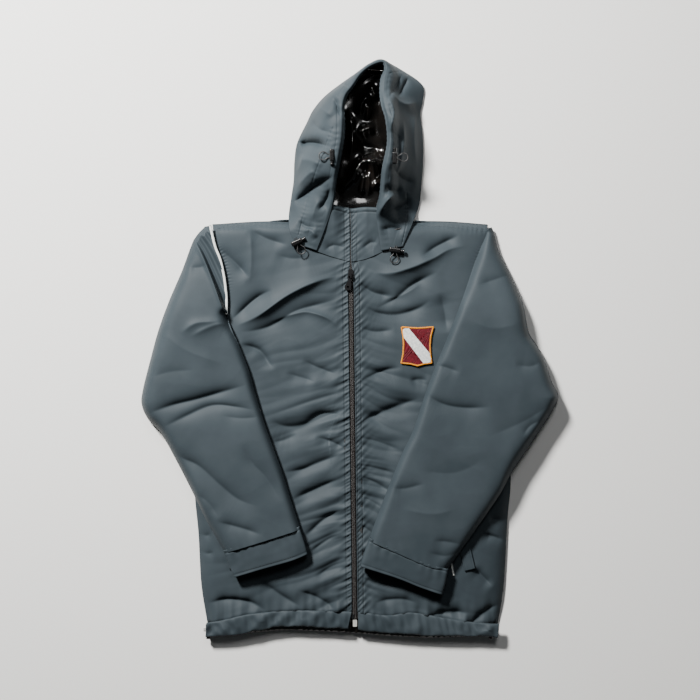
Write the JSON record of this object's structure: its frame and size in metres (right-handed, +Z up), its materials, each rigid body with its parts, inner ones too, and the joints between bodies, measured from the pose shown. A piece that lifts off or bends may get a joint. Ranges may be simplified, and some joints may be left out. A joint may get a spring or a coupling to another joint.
{
  "type": "foul weather jacket",
  "caption": "Hooded zip-front sailing jacket lying flat, sleeves folded over the body, with cord locks at face, neck and hem.",
  "frame": {"origin": "on the surface the jacket lies on, under the middle of its outline", "axes": "+Z up out of the jacket's front, +Y from hem to hood, +X towards the wearer's left"},
  "size_m": [0.777, 1.08, 0.0845],
  "materials": {
    "shell": "coated nylon, soft sheen",
    "lining": "wet-look glossy coated lining",
    "lining_matt": "plain taffeta lining",
    "zip_tape": "woven tape",
    "zip_coil": "nylon coil, slight sheen",
    "zip_metal": "black enamel",
    "zip_box": "worn cast",
    "piping": "reflective white",
    "badge": "embroidered",
    "cord": "braided elastic",
    "lock": "moulded black nylon"
  },
  "bodies": {
    "torso": {"back_panel": "shell", "back_yoke": "shell", "back_lining": "lining", "hem_casing": "lining", "hem_drawcord": "cord", "armhole_piping": "piping", "pocket_flaps": "shell", "pocket_bags": "lining_matt", "badge": "badge", "collar_back": "lining_matt", "hanger_loop": "lining_matt", "hood_base": "shell", "neck_drawcord": "cord", "zip_top_stops": "zip_metal", "zip_bottom_box": "zip_box", "zip_insertion_pin": "zip_box", "front_panel_right": "shell", "front_panel_left": "shell", "front_lining_right": "lining_matt", "front_lining_left": "lining_matt", "collar_right": "shell", "collar_left": "shell", "zip_tape_right": "zip_tape", "zip_tape_left": "zip_tape", "zip_coil_right": "zip_coil", "zip_coil_left": "zip_coil", "cord_lock_neck_right": "lock", "cord_lock_neck_left": "lock", "cord_lock_hem_right": "lock", "cord_lock_hem_left": "lock", "lock_cord_neck_right": "cord", "lock_cord_neck_left": "cord", "lock_cord_hem_right": "cord", "lock_cord_hem_left": "cord"},
    "hood": {"hood_panel_centre": "shell", "hood_panel_right": "shell", "hood_panel_left": "shell", "hood_lining": "lining", "hood_brim": "shell", "hood_drawcord": "cord", "cord_lock_face_right": "lock", "cord_lock_face_left": "lock", "lock_cord_face_right": "cord", "lock_cord_face_left": "cord"},
    "sleeve_right": {"sleeve_upper_right": "shell", "sleeve_under_right": "shell", "sleeve_lining_right": "lining_matt", "cuff_hem_right": "shell"},
    "sleeve_left": {"sleeve_upper_left": "shell", "sleeve_under_left": "shell", "sleeve_lining_left": "lining_matt", "cuff_hem_left": "shell"},
    "slider": {"zip_slider": "zip_metal"},
    "pull": {"zip_pull": "zip_metal"},
    "plunger_face_right": {"plunger_face_right": "lock"},
    "plunger_face_left": {"plunger_face_left": "lock"},
    "plunger_neck_right": {"plunger_neck_right": "lock"},
    "plunger_neck_left": {"plunger_neck_left": "lock"},
    "plunger_hem_right": {"plunger_hem_right": "lock"},
    "plunger_hem_left": {"plunger_hem_left": "lock"}
  },
  "joints": [
    {"name": "sleeve_right_swing", "type": "hinge", "parent": "torso", "child": "sleeve_right", "pos_m": [-0.258, 0.237, 0.03], "axis": [0, 0, -1], "range_deg": [0, 60]},
    {"name": "sleeve_left_swing", "type": "hinge", "parent": "torso", "child": "sleeve_left", "pos_m": [0.258, 0.236, 0.03], "axis": [0, 0, 1], "range_deg": [0, 60]},
    {"name": "hood_fold", "type": "hinge", "parent": "torso", "child": "hood", "pos_m": [0.007, 0.268, 0.046], "axis": [1, 0, 0], "range_deg": [0, 90]},
    {"name": "zip_slide", "type": "slide", "parent": "torso", "child": "slider", "axis": [-0.0119, 0.9999, 0], "range_m": [-0.628, 0.103]},
    {"name": "pull_flip", "type": "hinge", "parent": "slider", "child": "pull", "pos_m": [0.00148, 0.1376, 0.0288], "axis": [-0.9689, 0.2473, 0], "range_deg": [0, 175]},
    {"name": "press_face_right", "type": "slide", "parent": "hood", "child": "plunger_face_right", "axis": [0, 1, 0], "range_m": [0, 0.0035], "stiffness_N_per_m": 300, "springref_m": -0.004},
    {"name": "press_face_left", "type": "slide", "parent": "hood", "child": "plunger_face_left", "axis": [0, -1, 0], "range_m": [0, 0.0035], "stiffness_N_per_m": 300, "springref_m": -0.004},
    {"name": "press_neck_right", "type": "slide", "parent": "torso", "child": "plunger_neck_right", "axis": [-0.8988, -0.4384, 0], "range_m": [0, 0.0035], "stiffness_N_per_m": 300, "springref_m": -0.004},
    {"name": "press_neck_left", "type": "slide", "parent": "torso", "child": "plunger_neck_left", "axis": [-0.9903, 0.1392, 0], "range_m": [0, 0.0035], "stiffness_N_per_m": 300, "springref_m": -0.004},
    {"name": "press_hem_right", "type": "slide", "parent": "torso", "child": "plunger_hem_right", "axis": [0, 1, 0], "range_m": [0, 0.0035], "stiffness_N_per_m": 300, "springref_m": -0.004},
    {"name": "press_hem_left", "type": "slide", "parent": "torso", "child": "plunger_hem_left", "axis": [0, 1, 0], "range_m": [0, 0.0035], "stiffness_N_per_m": 300, "springref_m": -0.004}
  ]
}
